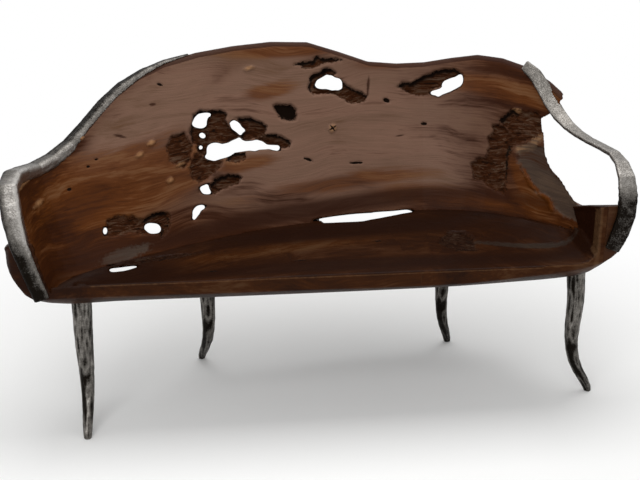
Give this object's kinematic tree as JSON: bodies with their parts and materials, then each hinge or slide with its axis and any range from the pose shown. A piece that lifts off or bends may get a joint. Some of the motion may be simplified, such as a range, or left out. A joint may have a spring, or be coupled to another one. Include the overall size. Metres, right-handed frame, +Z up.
{
  "type": "live edge bench",
  "caption": "Long bench hollowed from dark varnished wood, its curved live-edge back pierced by natural holes, with cast metal arms and horn-shaped cast legs.",
  "frame": {"origin": "centre of the bounding box on the floor, under the middle of the bench", "axes": "+X along the bench to the sitter's left, the right of the picture; +Y from the front lip to the back; +Z up"},
  "size_m": [1.6592, 0.6916, 0.9947],
  "materials": {
    "seat_wood": "dark brown stain under satin varnish",
    "back_wood": "dark brown stain under satin varnish, worn live edge",
    "cast_metal": "hammered bark-like casting, darkened in the hollows",
    "steel": "zinc plated"
  },
  "bodies": {
    "root": {"seat": "seat_wood", "backrest": "back_wood", "left_arm_band": "cast_metal", "right_arm": "cast_metal", "front_left_leg": "cast_metal", "front_right_leg": "cast_metal", "rear_left_leg": "cast_metal", "rear_right_leg": "cast_metal", "leg_bolts": "steel", "leg_inserts": "steel", "back_lag_screws": "steel", "left_arm_studs": "steel", "right_arm_studs": "steel"}
  },
  "joints": []
}
